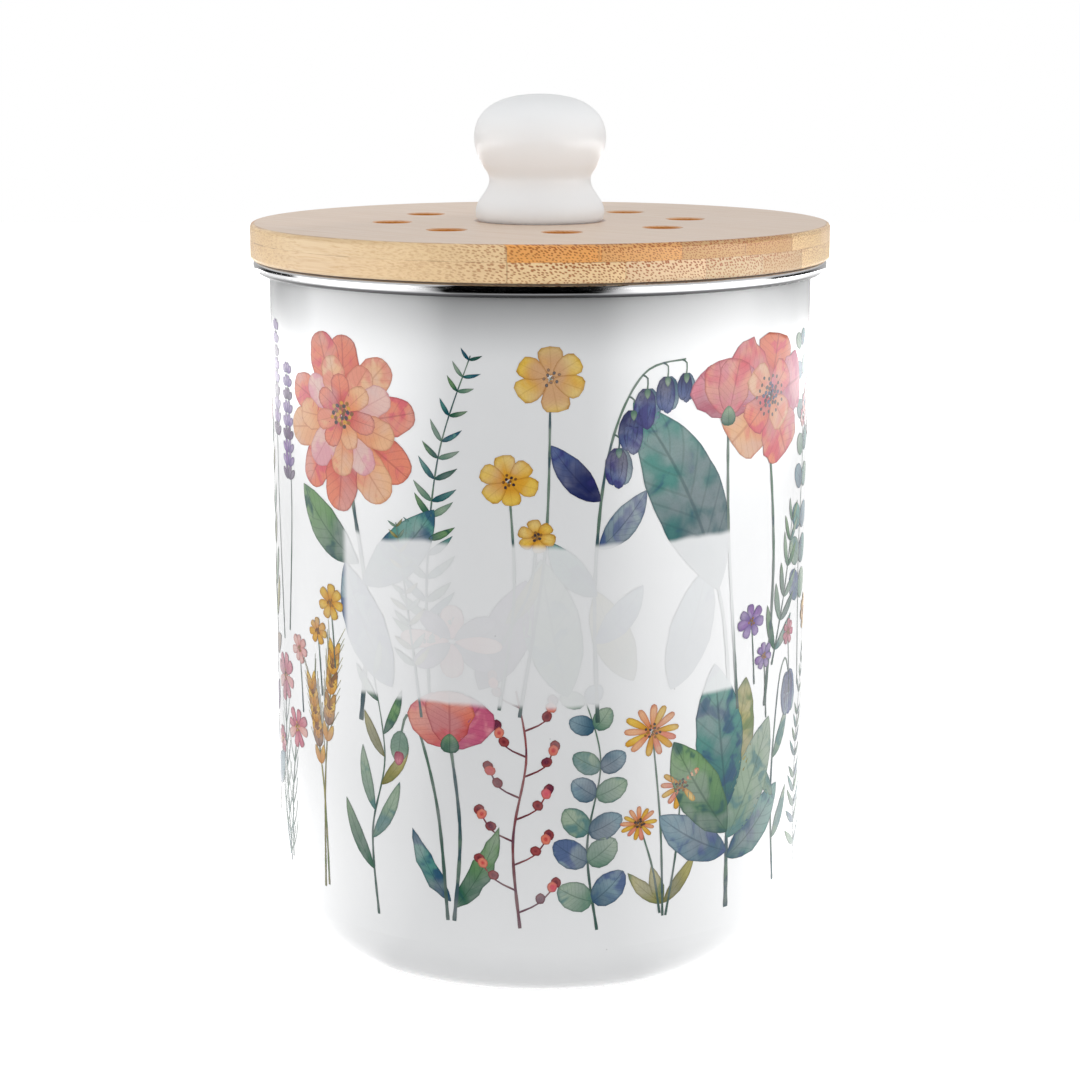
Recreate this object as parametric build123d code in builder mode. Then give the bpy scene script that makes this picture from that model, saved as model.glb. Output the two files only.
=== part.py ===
"""Compost caddy: an enamelled steel pail with a bright steel rim, and a vented bamboo lid.

The pail is one deep-drawn, enamelled shell whose mouth is turned outwards, with a
bright steel trim folded over that flange. The lid is three glued bamboo plies with a
turned knob, a silicone seal and eight vent holes. Under the holes a charcoal pad
lies in a push-fit grille, held in a moulded frame that is screwed to the lid.

Frame: +Z up, the front of the caddy faces -Y, and the origin is the centre of the
foot on the worktop. All sizes are in millimetres.
"""

from math import cos, degrees, radians, sin
import os

from build123d import *

# Pail: the enamelled shell
body_radius = 85.0
body_wall = 1.0
corner_radius = 18.0
foot_width = 15.0
foot_step = 3.2
foot_round = 1.5
base_rise = 1.6
mouth_height = 216.4
flange_overhang = 3.2
flange_round = 1.6

# Rim: the bright steel trim folded over the flange
rim_sheet = 0.6
rim_gap = 0.05
rim_leg = 7.5
rim_overhang = 4.85
rim_depth = 4.3
rim_top_round = 1.1
rim_under_round = 2.2
rim_lip_gap = 0.25

# Lid: three bamboo plies
lid_overhang = 0.85
upper_ply_thickness = 5.0
lower_ply_thickness = 6.0
plug_ply_thickness = 7.0
lid_top_round = 1.3
lid_under_round = 1.0
plug_clearance = 2.6
plug_chamfer = 1.0

# Vent holes through the plies
vent_count = 8
vent_radius = 6.0
vent_ring_radius = 46.5
vent_phase = 8.0
vent_edge_break = 0.35

# Seal: a silicone ring with two upturned lips, in a groove round the plug
seal_groove_depth = 2.5
seal_groove_width = 3.4
seal_groove_drop = 1.8
seal_slack = 0.1
seal_face_proud = 0.4
seal_lip_thickness = 0.7
seal_lip_rise = 0.4
seal_mouth_gap = 0.3

# Knob: one turned form, and what fastens it
knob_height = 39.2
knob_sole_radius = 19.3
knob_foot_radius = 20.2
knob_foot_height = 2.9
knob_waist_radius = 15.9
knob_waist_height = 12.9
knob_neck_radius = 18.4
knob_neck_height = 17.8
knob_head_radius = 20.65
knob_head_height = 25.6
insert_radius = 4.0
insert_length = 13.0
insert_slack = 0.05
screw_radius = 2.5
screw_engagement = 10.0
screw_tip_chamfer = 0.6
screw_head_radius = 4.8
screw_head_height = 2.9
screw_head_chamfer = 0.7
screw_slot_width = 1.2
screw_slot_depth = 1.4
screw_slack = 0.25
thread_slack = 0.05
hole_spare = 1.0
washer_radius = 6.0
washer_thickness = 1.0
counterbore_slack = 0.4
counterbore_room = 0.1

# Filter frame: a flange and a collar, held by three countersunk screws
frame_margin = 6.2
frame_flange_width = 8.5
frame_flange_thickness = 2.2
frame_wall = 2.0
frame_screw_count = 3
frame_screw_phase = 60.0
frame_screw_radius = 1.5
frame_screw_head_radius = 2.9
frame_screw_tip_cover = 1.2
frame_screw_slack = 0.05
frame_screw_slot_width = 0.8
frame_screw_slot_depth = 0.9
pilot_spare = 0.5

# Filter cover: slotted plate, push-fit skirt and pull bar, with the charcoal pad on it
cover_slack = 0.3
cover_lap = 2.0
cover_plate_thickness = 1.8
cover_skirt_wall = 1.5
cover_skirt_room = 1.6
cover_edge_round = 0.7
slot_width = 4.6
slot_ring_pitch = 11.0
slot_rib = 7.0
slots_per_ring = 4
slot_hub_radius = 16.7
slot_margin = 4.0
pull_length = 26.0
pull_thickness = 5.0
pull_height = 9.0
pull_round = 1.6
pad_thickness = 8.0
pad_room = 1.0
pad_slack = 0.8

# Heights, from the rim up and from the rim down
rim_top = mouth_height + rim_gap + rim_sheet
lid_under = rim_top
ply_joint = lid_under + lower_ply_thickness
lid_top = ply_joint + upper_ply_thickness
plug_under = lid_under - plug_ply_thickness
frame_height = pad_thickness + pad_room
frame_under = plug_under - frame_height
cover_under = frame_under - cover_plate_thickness

# Radii, from the wall of the pail outwards and inwards
flange_radius = body_radius + flange_overhang
rim_radius = body_radius + rim_overhang
rim_bore_radius = body_radius - body_wall - rim_gap - rim_sheet
lid_radius = rim_radius + lid_overhang
plug_radius = rim_bore_radius - plug_clearance
frame_flange_radius = plug_radius - frame_margin
frame_bore_radius = frame_flange_radius - frame_flange_width - frame_wall
cover_skirt_radius = frame_bore_radius - cover_slack
cover_bore_radius = cover_skirt_radius - cover_skirt_wall
cover_plate_radius = frame_bore_radius + frame_wall + cover_lap

os.makedirs("parts", exist_ok=True)


def ring_places(radius, count, phase=0.0):
    """Points on a circle about Z, the first one turned by phase degrees from the front."""
    angles = [radians(phase - 90 + 360 * index / count) for index in range(count)]
    return [(radius * cos(angle), radius * sin(angle)) for angle in angles]


def finish_part(builder, label):
    """Names the finished piece and writes it as one STEP file."""
    builder.part.label = label
    export_step(builder.part, f"parts/{label}.step")


vent_places = ring_places(vent_ring_radius, vent_count, vent_phase)

# Pail shell: raised base panel, foot ring, round corner, wall, and the out-turned flange
foot_radius = body_radius - corner_radius
with BuildPart() as pail_shell:
    with BuildSketch(Plane.XZ):
        with BuildLine():
            FilletPolyline(
                (0, base_rise),
                (foot_radius - foot_width - foot_step, base_rise),
                (foot_radius - foot_width, 0),
                (body_radius, 0),
                (body_radius, mouth_height - body_wall),
                (flange_radius, mouth_height - body_wall),
                radius=[foot_round, foot_round, corner_radius, flange_round - body_wall],
            )
            offset(amount=body_wall, side=Side.LEFT)
        make_face()
    revolve(axis=Axis.Z)
finish_part(pail_shell, "pail_shell")

# Rim trim: inner leg, top, outer band, and the lip that is closed in under the flange
half_sheet = rim_sheet / 2
rim_leg_radius = rim_bore_radius + half_sheet
rim_band_radius = rim_radius - half_sheet
rim_lip_height = rim_top - rim_depth + half_sheet
with BuildPart() as rim_trim:
    with BuildSketch(Plane.XZ):
        with BuildLine():
            FilletPolyline(
                (rim_leg_radius, rim_top - rim_leg),
                (rim_leg_radius, rim_top - half_sheet),
                (rim_band_radius, rim_top - half_sheet),
                (rim_band_radius, rim_lip_height),
                (body_radius + rim_lip_gap, rim_lip_height),
                radius=[flange_round + rim_gap + half_sheet, rim_top_round, rim_under_round],
            )
        trace(line_width=rim_sheet)
    revolve(axis=Axis.Z)
finish_part(rim_trim, "rim_trim")

# Upper bamboo ply, with the rounded top edge and the broken edges of the vents
with BuildPart() as lid_upper_ply:
    with BuildSketch(Plane.XY.offset(ply_joint)):
        Circle(lid_radius)
    extrude(amount=upper_ply_thickness)
    fillet(lid_upper_ply.faces().sort_by(Axis.Z)[-1].edges(), lid_top_round)
    with Locations(Plane.XY.offset(lid_top)):
        Hole(screw_radius + screw_slack)
        with Locations(*vent_places):
            Hole(vent_radius)
    top_edges = lid_upper_ply.faces().sort_by(Axis.Z)[-1].edges()
    chamfer(top_edges.filter_by(lambda edge: edge.radius == vent_radius), vent_edge_break)
finish_part(lid_upper_ply, "lid_upper_ply")

# Lower bamboo ply, whose underside sits on the rim
with BuildPart() as lid_lower_ply:
    with BuildSketch(Plane.XY.offset(lid_under)):
        Circle(lid_radius)
    extrude(amount=lower_ply_thickness)
    fillet(lid_lower_ply.faces().sort_by(Axis.Z)[0].edges(), lid_under_round)
    with Locations(Plane.XY.offset(ply_joint)):
        Hole(screw_radius + screw_slack)
        with Locations(*vent_places):
            Hole(vent_radius)
finish_part(lid_lower_ply, "lid_lower_ply")

# Plug ply, which drops into the mouth: seal groove, vents, counterbore and pilot holes
seal_top = lid_under - seal_groove_drop
washer_under = plug_under + screw_head_height + counterbore_room
counterbore_depth = washer_under + washer_thickness - plug_under
frame_screw_ring = frame_flange_radius - frame_flange_width / 2
frame_screw_places = ring_places(frame_screw_ring, frame_screw_count, frame_screw_phase)
frame_screw_reach = plug_ply_thickness - frame_screw_tip_cover
with BuildPart() as lid_plug_ply:
    with BuildSketch(Plane.XY.offset(plug_under)):
        Circle(plug_radius)
    extrude(amount=plug_ply_thickness)
    chamfer(lid_plug_ply.faces().sort_by(Axis.Z)[0].edges(), plug_chamfer)
    with BuildSketch(Plane.XY.offset(seal_top - seal_groove_width)):
        Circle(plug_radius)
        Circle(plug_radius - seal_groove_depth, mode=Mode.SUBTRACT)
    extrude(amount=seal_groove_width, mode=Mode.SUBTRACT)
    with Locations(Plane.XY.offset(lid_under)):
        Hole(screw_radius + screw_slack)
        with Locations(*vent_places):
            Hole(vent_radius)
    with BuildSketch(Plane.XY.offset(plug_under)):
        Circle(washer_radius + counterbore_slack)
    extrude(amount=counterbore_depth, mode=Mode.SUBTRACT)
    with BuildSketch(Plane.XY.offset(plug_under)):
        with Locations(*frame_screw_places):
            Circle(frame_screw_radius + frame_screw_slack)
    extrude(amount=frame_screw_reach + pilot_spare, mode=Mode.SUBTRACT)
finish_part(lid_plug_ply, "lid_plug_ply")

# Lid seal: a ring that fills the groove, with two thin lips that reach for the mouth
seal_root_radius = plug_radius - seal_groove_depth + seal_slack
seal_face_radius = plug_radius + seal_face_proud
seal_lip_radius = rim_bore_radius - seal_mouth_gap
seal_under = seal_top - seal_groove_width + seal_slack
with BuildPart() as lid_seal:
    with BuildSketch(Plane.XZ):
        with Locations((seal_root_radius, seal_under)):
            Rectangle(
                seal_face_radius - seal_root_radius,
                seal_groove_width - 2 * seal_slack,
                align=(Align.MIN, Align.MIN),
            )
        for lip_under in (seal_under, seal_top - seal_slack - seal_lip_thickness):
            with BuildLine():
                Polyline(
                    (seal_root_radius, lip_under),
                    (seal_face_radius, lip_under),
                    (seal_lip_radius, lip_under + seal_lip_rise),
                    (seal_lip_radius, lip_under + seal_lip_rise + seal_lip_thickness),
                    (seal_face_radius, lip_under + seal_lip_thickness),
                    (seal_root_radius, lip_under + seal_lip_thickness),
                    close=True,
                )
            make_face()
    revolve(axis=Axis.Z)
finish_part(lid_seal, "lid_seal")

# Knob: rolled foot, drawn-in waist and a flattened round head, with a blind hole below
with BuildPart() as knob:
    with BuildSketch(Plane.XZ):
        with BuildLine():
            sole = Line((0, lid_top), (knob_sole_radius, lid_top))
            outline = Spline(
                sole @ 1,
                (knob_foot_radius, lid_top + knob_foot_height),
                (knob_waist_radius, lid_top + knob_waist_height),
                (knob_neck_radius, lid_top + knob_neck_height),
                (knob_head_radius, lid_top + knob_head_height),
                (0, lid_top + knob_height),
                tangents=[(1, 1), (0, 1), (0, 1), (1, 2), (0, 1), (-1, 0)],
            )
            Line(outline @ 1, sole @ 0)
        make_face()
    revolve(axis=Axis.Z)
    with BuildSketch(Plane.XY.offset(lid_top)):
        Circle(insert_radius + insert_slack)
    extrude(amount=max(insert_length, screw_engagement) + hole_spare, mode=Mode.SUBTRACT)
finish_part(knob, "knob")

# Threaded brass insert in the knob
with BuildPart() as knob_insert:
    with BuildSketch(Plane.XY.offset(lid_top)):
        Circle(insert_radius)
        Circle(screw_radius + thread_slack, mode=Mode.SUBTRACT)
    extrude(amount=insert_length)
finish_part(knob_insert, "knob_insert")

# Knob screw, from below, with its slotted pan head in the counterbore
with BuildPart() as knob_screw:
    with BuildSketch(Plane.XY.offset(washer_under)):
        Circle(screw_radius)
    extrude(amount=lid_top + screw_engagement - washer_under)
    chamfer(knob_screw.faces().sort_by(Axis.Z)[-1].edges(), screw_tip_chamfer)
    with BuildSketch(Plane.XY.offset(washer_under - screw_head_height)):
        Circle(screw_head_radius)
    extrude(amount=screw_head_height)
    chamfer(knob_screw.faces().sort_by(Axis.Z)[0].edges(), screw_head_chamfer)
    with BuildSketch(Plane.XY.offset(washer_under - screw_head_height)):
        Rectangle(2 * screw_head_radius, screw_slot_width)
    extrude(amount=screw_slot_depth, mode=Mode.SUBTRACT)
finish_part(knob_screw, "knob_screw")

# Flat washer between the screw's head and the counterbore
with BuildPart() as knob_washer:
    with BuildSketch(Plane.XY.offset(washer_under)):
        Circle(washer_radius)
        Circle(screw_radius + screw_slack, mode=Mode.SUBTRACT)
    extrude(amount=washer_thickness)
finish_part(knob_washer, "knob_washer")

# Filter frame: a flange against the plug, and a collar that the cover pushes into
frame_screw_face = plug_under - frame_flange_thickness
with BuildPart() as filter_frame:
    with BuildSketch(Plane.XY.offset(frame_screw_face)):
        Circle(frame_flange_radius)
        Circle(frame_bore_radius, mode=Mode.SUBTRACT)
    extrude(amount=frame_flange_thickness)
    with BuildSketch(Plane.XY.offset(frame_under)):
        Circle(frame_bore_radius + frame_wall)
        Circle(frame_bore_radius, mode=Mode.SUBTRACT)
    extrude(amount=frame_height)
    with Locations(Plane(origin=(0, 0, frame_screw_face), x_dir=(1, 0, 0), z_dir=(0, 0, -1))):
        with Locations(*[(x, -y) for x, y in frame_screw_places]):
            CounterSinkHole(
                radius=frame_screw_radius + frame_screw_slack,
                counter_sink_radius=frame_screw_head_radius + frame_screw_slack,
                counter_sink_angle=90,
            )
finish_part(filter_frame, "filter_frame")

# The screws of the frame: countersunk, slotted, and driven up into the plug
with BuildPart() as frame_screws:
    with Locations(*[(x, y, frame_screw_face) for x, y in frame_screw_places]):
        Cone(
            bottom_radius=frame_screw_head_radius,
            top_radius=frame_screw_radius,
            height=frame_screw_head_radius - frame_screw_radius,
            align=(Align.CENTER, Align.CENTER, Align.MIN),
        )
        Cylinder(
            radius=frame_screw_radius,
            height=frame_flange_thickness + frame_screw_reach,
            align=(Align.CENTER, Align.CENTER, Align.MIN),
        )
        Box(
            length=2 * frame_screw_head_radius,
            width=frame_screw_slot_width,
            height=frame_screw_slot_depth,
            align=(Align.CENTER, Align.CENTER, Align.MIN),
            mode=Mode.SUBTRACT,
        )
finish_part(frame_screws, "frame_screws")

# Filter cover: plate with rings of slots, a skirt in the collar, and a bar to pull it by
slot_room = cover_bore_radius - slot_margin - slot_hub_radius - slot_width
slot_ring_count = 1 + int(slot_room / slot_ring_pitch)
slot_pitch_angle = 360 / slots_per_ring
with BuildPart() as filter_cover:
    with BuildSketch(Plane.XY.offset(cover_under)):
        Circle(cover_plate_radius)
    extrude(amount=cover_plate_thickness)
    fillet(filter_cover.faces().sort_by(Axis.Z)[0].edges(), cover_edge_round)
    with BuildSketch(Plane.XY.offset(frame_under)):
        Circle(cover_skirt_radius)
        Circle(cover_bore_radius, mode=Mode.SUBTRACT)
    extrude(amount=frame_height - cover_skirt_room)
    with BuildSketch(Plane.XY.offset(cover_under)):
        for ring in range(slot_ring_count):
            ring_radius = slot_hub_radius + slot_width / 2 + ring * slot_ring_pitch
            slot_angle = slot_pitch_angle - degrees((slot_rib + slot_width) / ring_radius)
            for slot in range(slots_per_ring):
                slot_start = slot * slot_pitch_angle - slot_angle / 2
                with BuildLine(mode=Mode.PRIVATE) as slot_line:
                    CenterArc((0, 0), ring_radius, slot_start, slot_angle)
                SlotArc(slot_line.edge(), slot_width)
    extrude(amount=cover_plate_thickness, mode=Mode.SUBTRACT)
    with BuildSketch(Plane.XY.offset(cover_under)):
        SlotOverall(pull_length, pull_thickness)
    extrude(amount=-pull_height)
    fillet(filter_cover.faces().sort_by(Axis.Z)[0].edges(), pull_round)
finish_part(filter_cover, "filter_cover")

# Charcoal pad: a loose round pad on the plate, inside the skirt
with BuildPart() as charcoal_pad:
    with BuildSketch(Plane.XY.offset(frame_under)):
        Circle(cover_bore_radius - pad_slack)
    extrude(amount=pad_thickness)
finish_part(charcoal_pad, "charcoal_pad")
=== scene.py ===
"""Compost caddy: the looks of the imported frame, in metres. +Z is up and the front faces -Y."""

import math
import random

import bmesh
import bpy
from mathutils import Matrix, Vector, noise


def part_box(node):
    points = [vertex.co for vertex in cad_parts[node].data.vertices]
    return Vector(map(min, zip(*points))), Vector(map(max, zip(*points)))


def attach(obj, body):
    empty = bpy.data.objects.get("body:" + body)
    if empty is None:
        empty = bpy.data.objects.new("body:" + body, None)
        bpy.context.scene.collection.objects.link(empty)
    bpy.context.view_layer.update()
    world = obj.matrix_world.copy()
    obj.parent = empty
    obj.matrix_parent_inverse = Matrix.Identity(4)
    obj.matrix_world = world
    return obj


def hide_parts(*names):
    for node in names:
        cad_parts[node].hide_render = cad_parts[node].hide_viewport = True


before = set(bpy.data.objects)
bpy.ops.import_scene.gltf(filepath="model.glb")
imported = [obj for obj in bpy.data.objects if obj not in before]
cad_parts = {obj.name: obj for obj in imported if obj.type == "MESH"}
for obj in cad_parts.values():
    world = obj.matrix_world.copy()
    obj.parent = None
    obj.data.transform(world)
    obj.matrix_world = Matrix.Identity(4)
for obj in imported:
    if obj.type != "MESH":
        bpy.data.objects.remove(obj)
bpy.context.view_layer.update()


# Studio: white floor paper and backdrop, an even sky, and three weak softboxes that no
# mirror shows. Glossy rays see a cloth tent instead, dark in front and bright at the
# sides, as the reflections in the enamel and the rim show it.
sky_at_horizon, sky_overhead = 1.1, 0.48
sky_blue = (0.97, 0.985, 1.0, 1.0)
floor_half, floor_drop = 3.0, 0.00005
floor_grey, floor_glow = 0.8, 0.86

# Each softbox has its azimuth, the heights of its two ends, and its brightness.
softboxes = {
    "softbox_left": (-80, 0.02, 1.25, 0.34),
    "softbox_right": (74, 0.02, 1.25, 0.44),
    "softbox_front": (-4, 0.02, 0.9, 0.23),
}
softbox_distance = 1.2
softbox_width = 2.1

# The camera is fitted to the outline in the photo: 11.7 degrees down, 0.79 m from the axis.
camera_place = (0.0, -0.77396, 0.2857)
camera_aim = (0.0, 0.0, 0.1254)
camera_lens, camera_sensor = 81.57, 36.0

# The tent's floor cloth runs from the foot to its wall. Each level is a brightness by
# azimuth, near for the floor cloth and far for the wall. High up the wall is even.
tent_hole, tent_radius, tent_height = 0.03, 1.45, 3.6
tent_floor, tent_step = 0.001, 5
tent_brightest, tent_high_level = 4.0, 0.19
tent_edge_gain, tent_foot_dim, tent_foot_light = 4.2, 0.7, 0.38
tent_near = (
    (-180, 0.9), (-130, 1.2), (-112, 2.0), (-86, 2.8), (-64, 2.4), (-52, 1.6), (-43, 1.0), (-37, 0.0),
    (23, 0.0), (30, 0.9), (42, 2.1), (60, 3.3), (81, 3.7), (106, 2.7), (135, 1.3), (180, 0.9),
)
tent_far = (
    (-180, 0.6), (-150, 0.5), (-136, 0.02), (-112, 0.02), (-106, 1.8), (-50, 1.8), (-39, 0.0), (27, 0.0),
    (35, 1.8), (94, 1.8), (102, 0.02), (128, 0.02), (146, 0.5), (180, 0.6),
)


def add_node(tree, kind, inputs=None, **settings):
    """Adds a shader node. Each input is a value, or an output socket to link."""
    node = tree.nodes.new("ShaderNode" + kind)
    for name, value in settings.items():
        setattr(node, name, value)
    for name, value in (inputs or {}).items():
        if isinstance(value, bpy.types.NodeSocket):
            tree.links.new(value, node.inputs[name])
        else:
            node.inputs[name].default_value = value
    return node


def calc(tree, operation, first, second=0.0, clamp=False):
    """The output of one Math node."""
    node = add_node(tree, "Math", {0: first, 1: second}, operation=operation, use_clamp=clamp)
    return node.outputs[0]


def times(tree, first, second):
    """The product of two values."""
    return calc(tree, "MULTIPLY", first, second)


def mix(tree, factor, first, second, mode="MIX"):
    """The output of one Mix node for colours."""
    inputs = {0: factor, 6: first, 7: second}
    return add_node(tree, "Mix", inputs, data_type="RGBA", blend_type=mode).outputs[2]


def remap(tree, value, low, high, to_low=0.0, to_high=1.0, smooth=True):
    """The output of one Map Range node, clamped at both ends."""
    inputs = {0: value, 1: low, 2: high, 3: to_low, 4: to_high}
    style = "SMOOTHSTEP" if smooth else "LINEAR"
    return add_node(tree, "MapRange", inputs, interpolation_type=style).outputs[0]


def axes_of(tree, vector):
    """The X, Y and Z of a vector."""
    return add_node(tree, "SeparateXYZ", {0: vector}).outputs


def object_coords(tree):
    """Object coordinates, which are the row frame's metres on every piece."""
    return add_node(tree, "TexCoord").outputs["Object"]


def azimuth_of(tree, place):
    """The azimuth of a place in radians: 0 is the front, and it grows to the right."""
    return calc(tree, "ARCTAN2", place["X"], times(tree, place["Y"], -1.0))


def seen_rays(tree):
    """1 for camera, glossy and transmission rays, and 0 for the rays that light things."""
    paths = add_node(tree, "LightPath").outputs
    mirrored = times(tree, paths["Is Glossy Ray"], calc(tree, "LESS_THAN", paths["Diffuse Depth"], 0.5))
    seen = calc(tree, "ADD", paths["Is Camera Ray"], mirrored)
    return calc(tree, "ADD", seen, paths["Is Transmission Ray"], clamp=True)


def ring_point(azimuth, radius, height):
    """A point round the caddy. Azimuth 0 is the front, and it grows to the right."""
    turn = math.radians(azimuth)
    return Vector((radius * math.sin(turn), -radius * math.cos(turn), height))


scene = bpy.context.scene
scene.view_settings.view_transform = "Standard"

camera_data = bpy.data.cameras.new("camera")
camera_data.lens = camera_lens
camera_data.sensor_width = camera_sensor
camera = bpy.data.objects.new("camera", camera_data)
camera.location = camera_place
camera.rotation_mode = "QUATERNION"
camera.rotation_quaternion = (Vector(camera_aim) - camera.location).to_track_quat("-Z", "Y")
scene.collection.objects.link(camera)
scene.camera = camera

world = bpy.data.worlds.new("studio")
world.use_nodes = True
scene.world = world
tree = world.node_tree
tree.nodes.clear()
direction = axes_of(tree, add_node(tree, "TexCoord").outputs["Generated"])
dome = remap(tree, direction["Z"], 0.0, 1.0, sky_at_horizon, sky_overhead, smooth=False)
fill = add_node(tree, "Background", {"Color": sky_blue, "Strength": dome})
white = add_node(tree, "Background", {"Color": (1, 1, 1, 1), "Strength": 1.0})
sky = add_node(tree, "MixShader", {0: seen_rays(tree), 1: fill.outputs[0], 2: white.outputs[0]})
add_node(tree, "OutputWorld", {"Surface": sky.outputs[0]})

for name, (azimuth, lowest, highest, brightness) in softboxes.items():
    lamp_data = bpy.data.lights.new(name, "AREA")
    lamp_data.shape = "RECTANGLE"
    lamp_data.size, lamp_data.size_y = softbox_width, highest - lowest
    lamp_data.energy = brightness * softbox_width * (highest - lowest) * math.pi
    lamp = bpy.data.objects.new(name, lamp_data)
    lamp.location = ring_point(azimuth, softbox_distance, (lowest + highest) / 2)
    aim = Vector((0.0, 0.0, lamp.location.z)) - lamp.location
    lamp.rotation_mode = "QUATERNION"
    lamp.rotation_quaternion = aim.to_track_quat("-Z", "Y")
    lamp.visible_camera = lamp.visible_glossy = False
    scene.collection.objects.link(lamp)

floor_mesh = bpy.data.meshes.new("floor")
floor_corners = [(x * floor_half, y * floor_half, 0) for x, y in ((-1, -1), (1, -1), (1, 1), (-1, 1))]
floor_mesh.from_pydata(floor_corners, [], [(0, 1, 2, 3)])
floor = bpy.data.objects.new("floor", floor_mesh)
floor.location.z = -floor_drop
scene.collection.objects.link(floor)
floor_material = bpy.data.materials.new("floor_paper")
floor_material.use_nodes = True
tree = floor_material.node_tree
tree.nodes.clear()
paper = add_node(tree, "BsdfDiffuse", {"Color": (floor_grey, floor_grey, floor_grey, 1.0)})
floor_rays = add_node(tree, "LightPath").outputs
floor_seen = calc(tree, "ADD", floor_rays["Is Camera Ray"], floor_rays["Is Transmission Ray"], clamp=True)
glow = add_node(tree, "Emission", {"Color": (1, 1, 1, 1), "Strength": times(tree, floor_seen, floor_glow)})
both = add_node(tree, "AddShader", {0: paper.outputs[0], 1: glow.outputs[0]})
add_node(tree, "OutputMaterial", {"Surface": both.outputs[0]})
floor_mesh.materials.append(floor_material)

tent_mesh = bpy.data.meshes.new("tent")
tent_outline = ((tent_hole, tent_floor), (tent_radius, tent_floor), (tent_radius, tent_height))
tent_points = [ring_point(azimuth, *spot) for azimuth in range(0, 360, tent_step) for spot in tent_outline]
tent_faces = []
for corner in range(0, len(tent_points), 3):
    after = (corner + 3) % len(tent_points)
    tent_faces += [(corner + part, after + part, after + part + 1, corner + part + 1) for part in (0, 1)]
tent_mesh.from_pydata(tent_points, [], tent_faces)
tent = bpy.data.objects.new("tent", tent_mesh)
tent.visible_camera = tent.visible_diffuse = tent.visible_shadow = tent.visible_transmission = False
scene.collection.objects.link(tent)
tent_material = bpy.data.materials.new("tent_cloth")
tent_material.use_nodes = True
tree = tent_material.node_tree
tree.nodes.clear()
place = axes_of(tree, object_coords(tree))
way_round = remap(tree, azimuth_of(tree, place), -math.pi, math.pi, smooth=False)
levels = []
for stops in (tent_near, tent_far):
    ramp = add_node(tree, "ValToRGB", {0: way_round})
    marks = ramp.color_ramp.elements
    for index, (stop_azimuth, level) in enumerate(stops):
        share = stop_azimuth / 360 + 0.5
        stop = marks[0 if index == 0 else -1] if share in (0.0, 1.0) else marks.new(share)
        stop.color = (*[level / tent_brightest] * 3, 1.0)
    levels.append(ramp.outputs[0])
# The floor cloth brightens towards the wall, and a little of its own light lies by the foot.
distance = add_node(tree, "VectorMath", {0: object_coords(tree)}, operation="LENGTH").outputs["Value"]
near = mix(tree, 1.0, levels[0], remap(tree, distance, 1.05, 1.4, 1.0, tent_edge_gain), "MULTIPLY")
near = mix(tree, 1.0, near, remap(tree, distance, 0.1, 0.4, tent_foot_dim, 1.0), "MULTIPLY")
near = mix(tree, 1.0, near, remap(tree, distance, 0.3, 0.11, 0.0, tent_foot_light), "ADD")
# Above the floor the wall takes over, and above the caddy it evens out.
level = mix(tree, remap(tree, place["Z"], 0.018, 0.03), near, levels[1])
high = mix(tree, 1.0, levels[0], (*[tent_high_level] * 3, 1.0), "DARKEN")
level = mix(tree, remap(tree, place["Z"], 0.26, 0.5), level, high)
glare = times(tree, seen_rays(tree), tent_brightest)
cloth = add_node(tree, "Emission", {"Color": level, "Strength": glare})
add_node(tree, "OutputMaterial", {"Surface": cloth.outputs[0]})
tent_mesh.materials.append(tent_material)


# Pail: one deep-drawn steel shell in white vitreous enamel, fired on inside and out.
# The glass is glossy, with a faint orange peel and the odd pinhole speck. Painted shade
# greys it up towards the rim, as shade under the rim and lid, most of all at the front and the back.
enamel_white = (0.79, 0.79, 0.79)
speck_grey = (0.3, 0.29, 0.28, 1)
peel_size, peel_height = 0.0032, 0.00001
cloud_size, specks_per_metre = 0.03, 70.0
# The painted shade under the rim: how far down it reaches, and its strength at the front and at the side.
rim_shade_band, rim_shade_at_front, rim_shade_at_side = 0.024, 0.46, 0.8


def rgba(color):
    """A colour with full alpha."""
    return (*color, 1.0)


def new_material(name, **constants):
    """A material with one Principled shader, whose constant sockets are set here."""
    material = bpy.data.materials.new(name)
    material.use_nodes = True
    shader = material.node_tree.nodes["Principled BSDF"]
    for socket, value in constants.items():
        shader.inputs[socket.replace("_", " ")].default_value = value
    return material, material.node_tree, shader


def new_group(name, inputs, outputs):
    """An empty shader node group and its two end nodes."""
    group = bpy.data.node_groups.new(name, "ShaderNodeTree")
    kinds = {"color": "NodeSocketColor", "float": "NodeSocketFloat", "vector": "NodeSocketVector"}
    for socket, kind in inputs.items():
        group.interface.new_socket(socket, in_out="INPUT", socket_type=kinds[kind])
    for socket, kind in outputs.items():
        group.interface.new_socket(socket, in_out="OUTPUT", socket_type=kinds[kind])
    return group, group.nodes.new("NodeGroupInput").outputs, group.nodes.new("NodeGroupOutput")


def use_group(tree, group, inputs=None):
    """A node that runs a group, and its outputs."""
    node = tree.nodes.new("ShaderNodeGroup")
    node.node_tree = group
    for name, value in (inputs or {}).items():
        if isinstance(value, bpy.types.NodeSocket):
            tree.links.new(value, node.inputs[name])
        else:
            node.inputs[name].default_value = value
    return node.outputs


def give(group, result, **sources):
    """Links outputs to the end node of a group."""
    for socket, source in sources.items():
        group.links.new(source, result.inputs[socket])


def feed(tree, shader, **sources):
    """Links outputs to sockets of the shader. Height goes through one Bump node."""
    for socket, source in sources.items():
        if socket == "Height":
            height, distance = source
            bump = add_node(tree, "Bump", {"Height": height, "Distance": distance, "Strength": 1.0})
            tree.links.new(bump.outputs[0], shader.inputs["Normal"])
        else:
            tree.links.new(source, shader.inputs[socket.replace("_", " ")])


def dress(node, material):
    """Puts a material on a CAD node."""
    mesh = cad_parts[node].data
    mesh.materials.clear()
    mesh.materials.append(material)


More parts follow.
